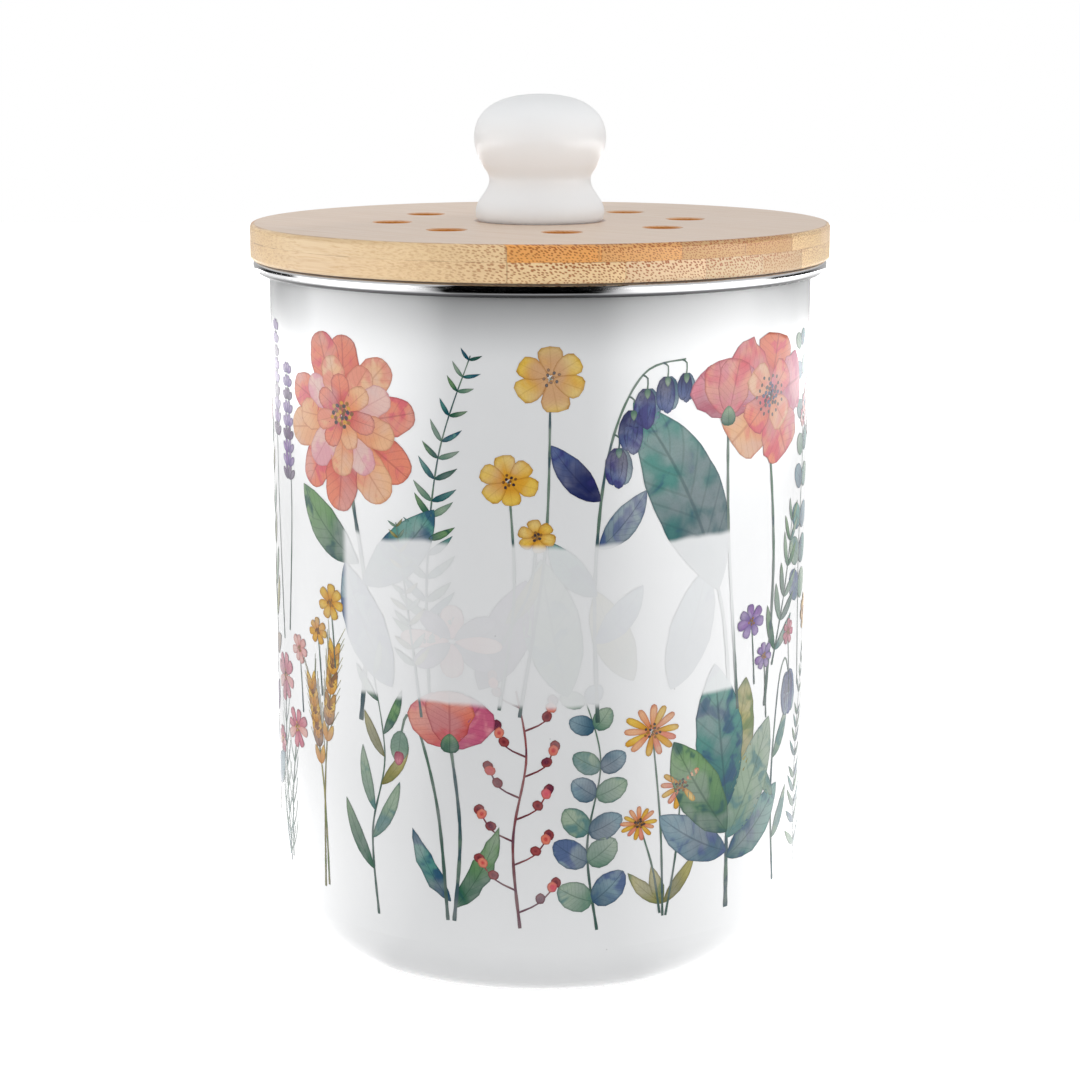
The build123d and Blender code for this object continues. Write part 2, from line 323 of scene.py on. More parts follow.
def fine_noise(tree, vector, size, detail=2.0, **more):
    """Noise whose features are about size metres across, from 0 to 1."""
    inputs = {"Vector": vector, "Scale": 1.0 / size, "Detail": detail, "Roughness": 0.55}
    return add_node(tree, "TexNoise", {**inputs, **more}).outputs[0]


glass_coat, given, result = new_group(
    "enamel_coat", {"Color": "color"}, {"Color": "color", "Roughness": "float", "Height": "float"}
)
coords = object_coords(glass_coat)
cloud = fine_noise(glass_coat, coords, cloud_size, 3.0)
peel = fine_noise(glass_coat, coords, peel_size, 1.0)
specks = add_node(glass_coat, "TexVoronoi", {"Vector": coords, "Scale": specks_per_metre})
speck = remap(glass_coat, specks.outputs["Distance"], 0.022, 0.012)
tint = remap(glass_coat, cloud, 0.35, 0.65, 0.985, 1.0)
toned = mix(glass_coat, 1.0, given["Color"], tint, "MULTIPLY")
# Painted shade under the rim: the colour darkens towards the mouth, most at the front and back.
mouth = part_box("pail_shell")[1].z
place = axes_of(glass_coat, coords)
aside = calc(glass_coat, "ABSOLUTE", place["X"])
deepest_rim_shade = remap(glass_coat, aside, 0.02, 0.075, rim_shade_at_front, rim_shade_at_side)
rim_shade = remap(glass_coat, place["Z"], mouth - rim_shade_band, mouth - 0.002, 1.0, deepest_rim_shade)
toned = mix(glass_coat, 1.0, toned, rim_shade, "MULTIPLY")
give(
    glass_coat,
    result,
    Color=mix(glass_coat, times(glass_coat, speck, 0.35), toned, speck_grey),
    Roughness=remap(glass_coat, cloud, 0.3, 0.7, 0.21, 0.26),
    Height=calc(glass_coat, "SUBTRACT", peel, speck),
)

enamel, tree, shader = new_material("enamel", Coat_Weight=0.6, Coat_Roughness=0.16)
glaze = use_group(tree, glass_coat, {"Color": rgba(enamel_white)})
feed(
    tree, shader, Base_Color=glaze["Color"], Roughness=glaze["Roughness"],
    Height=(glaze["Height"], peel_height),
)
dress("pail_shell", enamel)


# Print: a ceramic transfer fired into the enamel, of loose watercolour plants in two
# rows that repeat twice round the pail. Every leaf, petal and stem is a thin patch on
# the wall, a few hundredths of a millimetre proud, and thick ink dulls the gloss.
wall_radius = 85.0
print_repeat = math.pi * wall_radius

# Lengths here are in millimetres: u runs round the wall from the front to the right, and
# z is the height. A pale window at the front thins the colours, as for a label.
window_half_width, window_low, window_high = 64.0, 93.0, 141.0
window_density = 0.13

print_proud, layer_step = 0.04, 0.008
ink_shade = (0.80, 0.78, 0.78, 1.0)
ink_gloss = {"Specular_IOR_Level": 0.1, "Coat_Roughness": 0.16}

# Each ink has the colour of a leaf's base, its tip, the bleed and the lines, as a screen
# shows them, and how strongly its veins are drawn.
ink_colors = {
    "coral": ((214, 74, 76), (250, 152, 122), (236, 104, 124), (150, 48, 58), 0.5),
    "peach": ((243, 146, 86), (253, 200, 154), (244, 150, 132), (186, 88, 58), 0.5),
    "rose": ((190, 62, 96), (238, 150, 164), (206, 86, 130), (128, 42, 68), 0.5),
    "blush": ((238, 160, 150), (251, 212, 200), (240, 172, 186), (198, 108, 108), 0.4),
    "yellow": ((228, 156, 36), (250, 212, 92), (240, 178, 56), (168, 108, 28), 0.3),
    "ochre": ((150, 94, 38), (212, 156, 66), (120, 76, 44), (88, 54, 28), 0.0),
    "umber": ((62, 54, 58), (112, 92, 84), (56, 50, 74), (38, 33, 36), 0.0),
    "sage": ((104, 146, 122), (168, 192, 166), (84, 136, 140), (58, 92, 80), 0.6),
    "teal": ((20, 92, 100), (92, 162, 150), (32, 78, 122), (14, 58, 68), 0.6),
    "indigo": ((38, 46, 100), (92, 112, 164), (66, 60, 132), (26, 30, 68), 0.5),
    "slate": ((66, 106, 128), (142, 172, 184), (76, 96, 150), (42, 66, 88), 0.6),
    "plum": ((86, 66, 106), (152, 132, 164), (108, 76, 122), (58, 42, 74), 0.5),
    "olive": ((128, 128, 66), (192, 186, 118), (104, 138, 88), (88, 84, 42), 0.5),
    "moss": ((44, 106, 78), (124, 168, 110), (26, 86, 90), (28, 68, 54), 0.6),
    "taupe": ((126, 106, 92), (178, 158, 138), (104, 108, 114), (82, 68, 58), 0.5),
    "lilac": ((124, 98, 168), (194, 174, 218), (150, 106, 180), (86, 66, 122), 0.3),
    "stem": ((74, 106, 96), (120, 150, 128), (56, 86, 106), (52, 78, 72), 0.0),
    "wine": ((124, 46, 56), (172, 80, 80), (104, 46, 78), (78, 28, 38), 0.0),
}


def paint(red, green, blue):
    """A linear colour from the 0 to 255 values that a screen shows."""
    shares = [value / 255 for value in (red, green, blue)]
    return rgba([part / 12.92 if part < 0.04 else ((part + 0.055) / 1.055) ** 2.4 for part in shares])


wash, given, result = new_group(
    "watercolour_wash",
    {"Base": "color", "Tip": "color", "Bleed": "color", "Line": "color", "Veins": "float"},
    {"Color": "color", "Coat": "float"},
)
coords = object_coords(wash)
place = axes_of(wash, coords)
patch = add_node(wash, "Attribute", attribute_name="patch").outputs["Vector"]
along, side, rim = axes_of(wash, patch)
tone = add_node(wash, "Attribute", attribute_name="tone").outputs["Fac"]
side = calc(wash, "ABSOLUTE", side)
# The wash runs from base to tip, pools in darker blooms, and thins out in places.
cloud = fine_noise(wash, coords, 0.016, 2.0)
pool = fine_noise(wash, coords, 0.0075, 2.0, Distortion=0.5)
grit = fine_noise(wash, coords, 0.0005, 2.0)
drift = calc(wash, "ADD", times(wash, cloud, 1.1), times(wash, tone, 0.4))
flow = calc(wash, "ADD", along, calc(wash, "SUBTRACT", drift, 0.75))
ink = mix(wash, remap(wash, flow, 0.1, 0.85), given["Base"], given["Tip"])
wet = calc(wash, "ADD", pool, times(wash, calc(wash, "SUBTRACT", tone, 0.5), 0.25))
ink = mix(wash, remap(wash, wet, 0.52, 0.66, 0.0, 0.8), ink, given["Bleed"])
thinned = remap(wash, calc(wash, "ADD", cloud, times(wash, pool, 0.5)), 0.85, 0.55, 0.0, 0.3)
ink = mix(wash, thinned, ink, rgba(enamel_white))
# Veins: one down the middle and slanted ribs on both sides.
centre_vein = remap(wash, side, 0.07, 0.02)
slant = calc(wash, "SUBTRACT", times(wash, along, 9.0), times(wash, side, 1.8))
ribs = remap(wash, calc(wash, "SINE", times(wash, slant, 2 * math.pi)), 0.8, 1.0, 0.0, 0.5)
veins = times(wash, calc(wash, "MAXIMUM", centre_vein, ribs), given["Veins"])
ink = mix(wash, times(wash, veins, 0.7), ink, given["Line"])
# Grit of the paper, pigment that gathers at the edge, and the pen line round it.
ink = mix(wash, remap(wash, grit, 0.35, 0.7, 0.0, 0.10), ink, given["Line"])
gathered = remap(wash, rim, 0.8, 0.1, 0.0, 0.35)
ink = mix(wash, gathered, ink, given["Line"])
pen = remap(wash, calc(wash, "ADD", rim, times(wash, pool, 0.16)), 0.24, 0.14, 0.0, 0.5)
ink = mix(wash, pen, ink, given["Line"])
# The pale window at the front, with a ragged edge.
from_front = times(wash, calc(wash, "ABSOLUTE", azimuth_of(wash, place)), wall_radius)
ragged = times(wash, calc(wash, "SUBTRACT", cloud, 0.5), 3.0)
height = calc(wash, "ADD", times(wash, place["Z"], 1000.0), ragged)
inside = remap(wash, from_front, window_half_width + 1.5, window_half_width - 1.5)
inside = times(wash, inside, remap(wash, height, window_low - 1.0, window_low + 1.0))
inside = times(wash, inside, remap(wash, height, window_high + 1.0, window_high - 1.0))
density = remap(wash, inside, 0.0, 1.0, 1.0, window_density, smooth=False)
ink = mix(wash, density, rgba(enamel_white), mix(wash, 1.0, ink, ink_shade, "MULTIPLY"))
give(wash, result, Color=ink, Coat=remap(wash, density, window_density, 1.0, 1.0, 0.1, smooth=False))

inks = {}
for name, (base, tip, bleed, line, veins) in ink_colors.items():
    inks[name], tree, shader = new_material("ink_" + name, **ink_gloss)
    colors = {"Base": paint(*base), "Tip": paint(*tip), "Bleed": paint(*bleed), "Line": paint(*line)}
    painted = use_group(tree, wash, {**colors, "Veins": veins})
    fired = use_group(tree, glass_coat, {"Color": painted["Color"]})
    feed(
        tree, shader, Base_Color=fired["Color"], Roughness=fired["Roughness"],
        Height=(fired["Height"], peel_height),
    )
    feed(tree, shader, Coat_Weight=painted["Coat"])

ink_order = list(inks)


def new_sheet():
    """An empty print: its points, faces, the ink of each face, and two values a point."""
    return {"points": [], "faces": [], "inks": [], "patch": [], "tone": [], "shift": 0.0}


def lay_rows(sheet, ink, rows, layer, tone):
    """Lays rows of (u, z, along, side, rim) on the wall as one patch of ink."""
    first, width = len(sheet["points"]), len(rows[0])
    radius = (wall_radius + print_proud + layer_step * layer) / 1000
    for row in rows:
        for u, z, along, side, rim in row:
            turn = (u + sheet["shift"]) / wall_radius
            sheet["points"].append((radius * math.sin(turn), -radius * math.cos(turn), z / 1000))
            sheet["patch"].append((along, side, rim))
            sheet["tone"].append(tone)
    for step in range(len(rows) - 1):
        for column in range(width - 1):
            corner = first + step * width + column
            sheet["faces"].append((corner, corner + 1, corner + width + 1, corner + width))
            sheet["inks"].append(ink_order.index(ink))


def blade(sheet, ink, base, length, width, lean, bend=0.0, form=(0.8, 0.9), frill=0.0, layer=0, squash=None):
    """A leaf or petal. lean is its direction in degrees from upright, to the right, and
    bend how far it curves. form says how fast it widens and closes. squash is the
    centre and the share of height of a flower seen from the side."""
    chance = random.Random(round(base[0] * 31 + base[1] * 17 + lean * 7 + length * 13))
    tone = chance.random()
    phases = [chance.uniform(0, 6.28) for _ in range(4)]
    rows_needed = max(7, round(length / 1.8))
    columns = 2 * max(1, math.ceil(width / 4.4))
    widest = form[0] / (form[0] + form[1])
    scale = width / 2 / (widest ** form[0] * (1 - widest) ** form[1])
    u, z = base
    rows, before = [], 0.0
    for step in range(rows_needed + 1):
        t = 0.5 - 0.5 * math.cos(math.pi * step / rows_needed)
        heading = math.radians(lean + bend * (t - 0.3))
        u += length * (t - before) * math.sin(heading)
        z += length * (t - before) * math.cos(heading)
        before = t
        half = max(0.03, scale * t ** form[0] * (1 - t) ** form[1])
        row = []
        for column in range(columns + 1):
            v = 2 * column / columns - 1
            coarse, fine = phases[0::2] if v < 0 else phases[1::2]
            wave = math.sin(t * 21 + coarse) + 0.6 * math.sin(t * 43 + fine)
            reach = half * v * (1 + frill * wave * abs(v))
            edge = min((1 - abs(v)) * half, 0.6 * length * min(t, 1 - t) + 0.02)
            place_u, place_z = u + reach * math.cos(heading), z - reach * math.sin(heading)
            if squash:
                place_z = squash[0][1] + (place_z - squash[0][1]) * squash[1]
            row.append((place_u, place_z, t, v, edge))
        rows.append(row)
    lay_rows(sheet, ink, rows, layer, tone)


def stroke(sheet, ink, points, start_width, end_width, layer=0):
    """A stem: a tapering line through the points, smooth as a brush draws it."""
    tone = random.Random(round(points[0][0] * 11 + points[-1][1] * 5)).random()
    knots = [points[0], *points, points[-1]]
    path = []
    for index in range(len(points) - 1):
        p0, p1, p2, p3 = knots[index : index + 4]
        steps = max(2, round(math.dist(p1, p2) / 2.2))
        for step in range(steps + (index == len(points) - 2)):
            t = step / steps
            path.append([
                0.5 * (
                    2 * b + (c - a) * t + (2 * a - 5 * b + 4 * c - d) * t * t
                    + (3 * b - a - 3 * c + d) * t ** 3
                )
                for a, b, c, d in zip(p0, p1, p2, p3)
            ])
    rows = []
    for index, (u, z) in enumerate(path):
        t = index / (len(path) - 1)
        ahead, behind_it = path[min(index + 1, len(path) - 1)], path[max(index - 1, 0)]
        du, dz = ahead[0] - behind_it[0], ahead[1] - behind_it[1]
        size = math.hypot(du, dz) or 1.0
        half = (start_width + (end_width - start_width) * t) / 2 * (1 + 0.12 * math.sin(index * 1.7))
        rows.append([
            (u - v * half * dz / size, z + v * half * du / size, t, 1.0, 0.35) for v in (1, 0, -1)
        ])
    lay_rows(sheet, ink, rows, layer, tone)
    return path


def bowed_stem(sheet, ink, base, top, bow, start_width, end_width, layer=0):
    """A stem from base to top whose middle stands off by bow."""
    middle = ((base[0] + top[0]) / 2 + bow, (base[1] + top[1]) / 2)
    return stroke(sheet, ink, [base, middle, top], start_width, end_width, layer)


def dot(sheet, ink, centre, radius, layer=0, squash=1.0):
    """A round touch of the brush."""
    chance = random.Random(round(centre[0] * 97 + centre[1] * 61))
    phase, tone = chance.uniform(0, 6.28), chance.random()
    rows = []
    for reach in (0.02, 0.6, 1.0):
        row = []
        for step in range(13):
            turn = 2 * math.pi * step / 12
            wobble = radius * reach * (1 + 0.08 * math.sin(2 * turn + phase) + 0.05 * math.sin(5 * turn))
            spot = (centre[0] + wobble * math.cos(turn), centre[1] + squash * wobble * math.sin(turn))
            row.append((*spot, reach, 1.0, radius * (1 - reach)))
        rows.append(row)
    lay_rows(sheet, ink, rows[::-1], layer, tone)


def corolla(
    sheet, ink_names, centre, radius, count, share, form, squash=1.0, turn=0.0, frill=0.0, layer=0, bend=0.0,
):
    """One ring of petals. share is a petal's width as a part of its length."""
    for index in range(count):
        chance = random.Random(round(centre[0] * 7 + index * 41 + radius * 3))
        lean = turn + 360 * index / count + chance.uniform(-6, 6)
        length = radius * chance.uniform(0.88, 1.05)
        heading = math.radians(lean)
        start = (
            centre[0] + 0.06 * radius * math.sin(heading), centre[1] + 0.06 * radius * math.cos(heading),
        )
        place_in_ring = index % 3 if index < count - 1 or count % 3 != 1 else 1
        blade(
            sheet, ink_names[index % len(ink_names)], start, length, length * share, lean,
            bend * (1 if index % 2 else -1), form, frill, layer + place_in_ring, (centre, squash),
        )


def seed_head(sheet, ink_names, centre, radius, count, layer, squash=1.0):
    """A cluster of small dots, packed as in the middle of a daisy."""
    for index in range(count):
        reach = radius * math.sqrt((index + 0.4) / count)
        turn = index * 2.39996
        spot = (centre[0] + reach * math.cos(turn), centre[1] + squash * reach * math.sin(turn))
        dot(
            sheet, ink_names[index % len(ink_names)], spot,
            max(0.45, radius * 0.17), layer + index % 2, squash,
        )


def florets(sheet, dark_ink, spot, rings, rise, length, shrink, width, reach, layer):
    """A spike of small lilac florets, as of lavender, with every third ring dark."""
    for ring in range(rings):
        ink, height = "lilac" if ring % 3 else dark_ink, spot[1] + ring * rise
        for way in (-1, -0.35, 0.35, 1):
            place, size = (spot[0] + way * reach, height), length - ring * shrink
            blade(sheet, ink, place, size, width, way * 52, 0, (0.7, 0.5), 0.03, layer + ring % 2)


def leafy_stem(
    sheet, ink_names, points, leaf, first=0.15, last=0.98, pairs=6, stem="stem", opposite=True, taper=0.5,
    layer=0, spread=52, form=(0.8, 0.9), width=0.9,
):
    """A stem with leaves up its sides. leaf is the length and width of the largest."""
    path = stroke(sheet, stem, points, width, width * 0.35, layer)
    for index in range(pairs):
        t = first + (last - first) * index / max(1, pairs - 1)
        spot_index = min(len(path) - 2, max(1, round(t * (len(path) - 1))))
        spot, after = path[spot_index], path[spot_index + 1]
        heading = math.degrees(math.atan2(after[0] - spot[0], after[1] - spot[1]))
        size = 1 - taper * t
        chance = random.Random(round(spot[0] * 13 + spot[1] * 29 + index))
        for way in (-1, 1):
            if opposite or (index % 2 == 0) == (way < 0):
                lean = heading + way * spread * chance.uniform(0.85, 1.15)
                ink = ink_names[(index + (way > 0)) % len(ink_names)]
                blade(
                    sheet, ink, spot, leaf[0] * size * chance.uniform(0.9, 1.1), leaf[1] * size, lean,
                    -way * 22, form, 0.02, layer + 1 + (way > 0),
                )
    return path


def draw_upper(sheet):
    """The tall row: blooms near the rim, on stems that run down behind the window."""
    # lavender
    for base, top, lean in (((-104, 100), (-108, 198), -2), ((-98, 104), (-96, 186), 3)):
        bowed_stem(sheet, "stem", base, top, lean, 0.9, 0.4)
        florets(sheet, "plum", (top[0], top[1] - 34), 9, 4.1, 5.2, 0.22, 2.3, 0.8, 1)
    leafy_stem(
        sheet, ["sage", "olive"], [(-116, 96), (-118, 130), (-121, 168)],
        (17, 4.2), pairs=7, spread=34, layer=0,
    )
    # layered peony, with two leaves below it
    stroke(sheet, "stem", [(-58, 84), (-55, 118), (-60, 150), (-64, 172)], 1.7, 1.2)
    blade(sheet, "moss", (-58, 132), 34, 13, -58, 24, (0.9, 0.9), 0.02, 1)
    blade(sheet, "teal", (-57, 126), 36, 14, 52, -26, (0.9, 0.9), 0.02, 2)
    corolla(sheet, ["coral", "peach", "coral"], (-64, 174), 27, 10, 0.50, (0.75, 0.42), 0.92, 8, 0.04, 3, 8)
    corolla(sheet, ["peach", "blush"], (-64, 175), 20, 9, 0.54, (0.75, 0.40), 0.9, 26, 0.05, 6, -8)
    corolla(sheet, ["coral", "peach"], (-64, 176), 12.5, 7, 0.62, (0.7, 0.4), 0.88, 0, 0.05, 9, 6)
    seed_head(sheet, ["ochre", "yellow", "umber"], (-64, 176), 4.6, 26, 12, 0.85)
    # fern fronds
    leafy_stem(
        sheet, ["moss", "sage", "teal"], [(-33, 86), (-34, 128), (-30, 166), (-20, 196)], (15, 3.6),
        first=0.24, pairs=15, spread=58, taper=0.72, layer=0, form=(0.6, 1.0),
    )
    leafy_stem(
        sheet, ["sage", "olive"], [(-36, 88), (-40, 118), (-44, 146)], (10, 2.8), first=0.3, pairs=9,
        spread=58, taper=0.7, layer=3, form=(0.6, 1.0),
    )
    # buttercups
    for centre, radius, base in (
        ((-9, 160), 8.5, (-12, 92)), ((3, 190), 10.5, (-6, 90)), ((-1, 144), 5.5, (-11, 112)),
    ):
        bowed_stem(sheet, "stem", base, centre, 3, 1.0, 0.6, 3)
        corolla(sheet, ["yellow"], centre, radius, 6, 0.78, (0.8, 0.32), 0.9, base[0], 0.04, 4, 4)
        seed_head(sheet, ["ochre", "umber"], centre, radius * 0.26, 9, 8)
    blade(sheet, "olive", (-10, 118), 22, 5, 38, -28, (0.8, 1.0), 0.02, 2)
    # arching spray of bellflowers
    arch = stroke(sheet, "stem", [(17, 88), (16, 130), (20, 168), (30, 190), (44, 194)], 1.3, 0.5, 2)
    for t, size in ((0.70, 11), (0.79, 12), (0.87, 11), (0.93, 10), (0.99, 8)):
        spot = arch[min(len(arch) - 1, round(t * (len(arch) - 1)))]
        drop = (spot[0] + 1.5, spot[1] - 4)
        stroke(sheet, "stem", [spot, (spot[0] + 1.6, spot[1] - 1), drop], 0.5, 0.5, 3)
        for way, ink in ((-1, "slate"), (1, "indigo"), (0, "indigo")):
            blade(
                sheet, ink, drop, size * (1.0 if way else 1.08), size * 0.5, 180 + way * 17, way * -26,
                (0.42, 0.5), 0.03, 4 + (way == 0) + (way > 0),
            )
        blade(sheet, "sage", drop, 3, 2, 180, 0, (0.4, 0.8), 0, 8)
    for height, way, ink in ((112, 1, "slate"), (126, -1, "teal"), (140, 1, "slate"), (154, -1, "indigo")):
        blade(
            sheet, ink, (16.3 + (height - 112) * 0.03, height),
            22, 8.5, way * 46, -way * 20, (0.8, 0.9), 0.02, 3,
        )
    # one big leaf, which leans across
    stroke(sheet, "stem", [(63, 84), (60, 112), (56, 128)], 1.6, 1.1, 2)
    blade(sheet, "teal", (57, 124), 66, 24, -22, -24, (0.85, 0.95), 0.015, 4)
    # poppies
    stroke(sheet, "stem", [(80, 84), (84, 130), (78, 180)], 1.6, 1.1, 5)
    stroke(sheet, "stem", [(66, 86), (61, 140), (60, 176)], 1.2, 0.9, 6)
    corolla(
        sheet, ["coral", "rose", "coral", "peach"], (80, 180),
        22, 5, 1.02, (0.62, 0.28), 0.88, 14, 0.06, 7, 0,
    )
    corolla(sheet, ["coral", "peach"], (80, 180), 14, 4, 0.95, (0.62, 0.3), 0.85, 50, 0.06, 10, 0)
    seed_head(sheet, ["umber", "indigo"], (80, 180), 4.4, 22, 14, 0.85)
    for index in range(18):
        turn = index * math.pi / 9
        reach = 6.6 + 0.8 * math.sin(index * 2.3)
        dot(sheet, "umber", (80 + reach * math.cos(turn), 180 + 0.85 * reach * math.sin(turn)), 0.55, 14)
    for lean, ink in ((-40, "rose"), (40, "rose"), (-14, "coral"), (16, "coral")):
        blade(
            sheet, ink, (60, 176), 17, 14, lean, 0, (0.6, 0.3), 0.06, 8 + (abs(lean) < 30) * 2 + (lean > 0),
        )
    blade(sheet, "moss", (60, 173), 6, 6, 0, 0, (0.4, 0.7), 0, 13)
    leafy_stem(
        sheet, ["moss", "sage"], [(84, 96), (93, 120), (98, 140)], (16, 4), pairs=6, spread=40, layer=4,
    )
    # eucalyptus, with round leaves
    leafy_stem(
        sheet, ["slate", "sage", "teal"], [(108, 84), (106, 126), (109, 160), (104, 194)], (13.5, 11),
        first=0.28, pairs=8, taper=0.55, spread=62, layer=0, form=(0.5, 0.55),
    )
    # umbel
    stroke(sheet, "wine", [(128, 88), (126, 128), (127, 160)], 1.2, 0.8, 2)
    for index in range(11):
        lean = -62 + 12.4 * index
        reach = 24 - 0.05 * abs(lean)
        tip = (127 + reach * math.sin(math.radians(lean)), 160 + reach * math.cos(math.radians(lean)))
        stroke(
            sheet, "wine",
            [(127, 160), ((127 + tip[0]) / 2 + lean * 0.02, (160 + tip[1]) / 2 - 1), tip], 0.6, 0.4, 3,
        )
        for way in range(7):
            spot = (tip[0] + 2.6 * math.sin(way * 0.9 + index), tip[1] + 2.2 * math.cos(way * 0.9 + index))
            dot(sheet, "blush" if (way + index) % 3 else "rose", spot, 1.15, 4 + way % 2)


def draw_lower(sheet):
    """The low row: smaller plants that stand on the round of the base."""
    # twig with heart-shaped leaves
    leafy_stem(
        sheet, ["taupe", "plum", "slate"], [(-122, 26), (-119, 52), (-123, 78), (-118, 96)], (19, 12),
        first=0.22, pairs=6, taper=0.45, spread=56, opposite=False, layer=0, form=(0.45, 0.95), stem="wine",
    )
    # small cosmos with thread-like leaves
    for base, centre, radius in (
        ((-101, 28), (-104, 88), 9), ((-99, 30), (-93, 74), 7.5), ((-102, 30), (-110, 66), 5),
    ):
        path = bowed_stem(sheet, "stem", base, centre, -2, 0.9, 0.5, 1)
        for index in range(2, len(path) - 4, 3):
            for way in (-1, 1):
                u, z = path[index]
                stroke(
                    sheet, "sage",
                    [path[index], (u + way * 3, z + 5), (u + way * 4.5, z + 10)], 0.5, 0.25, 2,
                )
        corolla(sheet, ["rose", "rose", "blush"], centre, radius, 8, 0.50, (0.85, 0.3), 0.86, 10, 0.03, 3)
        seed_head(sheet, ["yellow", "ochre"], centre, radius * 0.24, 9, 7)
    # wheat
    for base, top, lean in (((-76, 27), (-70, 102), 10), ((-74, 28), (-82, 90), -10)):
        path = bowed_stem(sheet, "olive", base, top, -lean * 0.2, 0.9, 0.5, 1)
        for index in range(9):
            t = 0.62 + 0.042 * index
            spot = path[min(len(path) - 1, round(t * (len(path) - 1)))]
            for way in (-1, 1):
                blade(
                    sheet, "ochre" if index % 2 else "yellow", spot, 6.4, 2.6,
                    lean + way * 26, -way * 16, (0.7, 0.8), 0, 2 + (way > 0),
                )
                heading = math.radians(lean + way * 20)
                tip = (spot[0] + 12 * math.sin(heading), spot[1] + 12 * math.cos(heading))
                stroke(sheet, "olive", [(spot[0] + way * 1.5, spot[1] + 4), tip], 0.3, 0.2, 1)
    # willow leaves
    leafy_stem(
        sheet, ["moss", "olive", "sage"], [(-52, 24), (-54, 50), (-49, 74), (-53, 100)], (24, 5.4),
        first=0.2, pairs=8, taper=0.5, spread=34, opposite=False, layer=0,
    )
    # poppy bud and a half-open poppy
    stroke(sheet, "stem", [(-28, 26), (-31, 60), (-37, 84), (-41, 88), (-43, 82)], 1.1, 0.8, 2)
    blade(sheet, "sage", (-43, 83), 10, 6.5, 188, 0, (0.6, 0.6), 0.03, 3)
    blade(sheet, "rose", (-43.6, 76.5), 4.4, 3.4, 188, 0, (0.3, 0.5), 0, 4)
    stroke(sheet, "stem", [(-26, 26), (-24, 54), (-27, 82)], 1.2, 0.9, 2)
    for lean, ink in ((-34, "coral"), (36, "rose"), (0, "coral")):
        blade(sheet, ink, (-27, 80), 17, 15, lean, 0, (0.6, 0.32), 0.06, 3 + (lean == 0) * 2 + (lean > 0))
    blade(sheet, "moss", (-27, 78), 6, 6, 0, 0, (0.4, 0.7), 0, 7)
    blade(sheet, "moss", (-26, 30), 30, 7, 34, -26, (0.8, 1.0), 0.10, 1)
    blade(sheet, "teal", (-27, 32), 25, 6, -36, 24, (0.8, 1.0), 0.10, 1)
    # sprig of berries
    trunk = stroke(sheet, "wine", [(-6, 25), (-8, 52), (-4, 78), (-7, 98)], 1.0, 0.5, 1)
    for index in range(3, len(trunk) - 1, 3):
        way = 1 if index % 2 else -1
        spot = trunk[index]
        tip = (spot[0] + way * (11 - index * 0.12), spot[1] + 8)
        twig = stroke(sheet, "wine", [spot, (spot[0] + way * 6, spot[1] + 3), tip], 0.6, 0.35, 1)
        for step, share in enumerate((0.55, 0.8, 1.0)):
            end = twig[round(share * (len(twig) - 1))]
            dot(
                sheet, "coral" if step % 2 else "wine",
                (end[0] + way * 0.6, end[1] + 1.5), 1.6, 3 + step % 2,
            )
    # eucalyptus in sage
    leafy_stem(
        sheet, ["sage", "slate"], [(17, 24), (14, 50), (18, 76), (13, 96)], (13, 10), first=0.16, pairs=7,
        taper=0.45, spread=64, layer=0, form=(0.5, 0.6),
    )
    # daisies
    for base, centre, radius in (
        ((38, 26), (34, 84), 9), ((39, 26), (44, 66), 7.5), ((37, 27), (30, 56), 5.5),
    ):
        bowed_stem(sheet, "stem", base, centre, 1, 0.8, 0.5, 2)
        corolla(sheet, ["peach", "yellow"], centre, radius, 13, 0.28, (0.8, 0.35), 0.9, 0, 0.02, 3)
        seed_head(sheet, ["ochre", "umber"], centre, radius * 0.3, 14, 7, 0.9)
    for lean, size in ((-52, 16), (44, 18), (-20, 13)):
        blade(sheet, "olive", (38, 30), size, 4.5, lean, -lean * 0.4, (0.8, 1.0), 0.05, 1)
    # rosette of broad leaves
    stroke(sheet, "stem", [(62, 24), (62, 40), (62, 62)], 1.8, 1.0, 1)
    for lean, size, ink, height in (
        (-64, 30, "slate", 42), (62, 32, "teal", 40), (-36, 38, "moss", 48), (34, 40, "sage", 46),
        (-8, 46, "teal", 56), (14, 36, "olive", 60),
    ):
        blade(
            sheet, ink, (62, height), size, size * 0.42, lean,
            -lean * 0.35, (0.8, 0.85), 0.03, 2 + round(height) % 5,
        )
    # one blue bellflower
    stroke(sheet, "stem", [(87, 26), (85, 58), (89, 88), (94, 96), (97, 91)], 1.1, 0.7, 1)
    for way, ink in ((-1, "slate"), (1, "slate"), (0, "indigo")):
        blade(
            sheet, ink, (97, 91), 14, 8.5, 176 + way * 18, way * -28,
            (0.42, 0.5), 0.03, 3 + (way == 0) + (way > 0),
        )
    for height, way in ((40, 1), (54, -1), (66, 1)):
        blade(sheet, "sage", (86, height), 18, 5, way * 40, -way * 20, (0.8, 1.0), 0.02, 2)
    # fern
    leafy_stem(
        sheet, ["moss", "teal"], [(108, 25), (106, 52), (110, 76), (118, 94)], (13, 3.2), first=0.14,
        pairs=13, spread=58, taper=0.7, layer=0, form=(0.6, 1.0),
    )
    # lavender
    stroke(sheet, "stem", [(130, 26), (131, 60), (129, 92)], 0.8, 0.4, 1)
    florets(sheet, "indigo", (129.8, 62), 8, 4, 4.8, 0.25, 2.2, 0.7, 2)


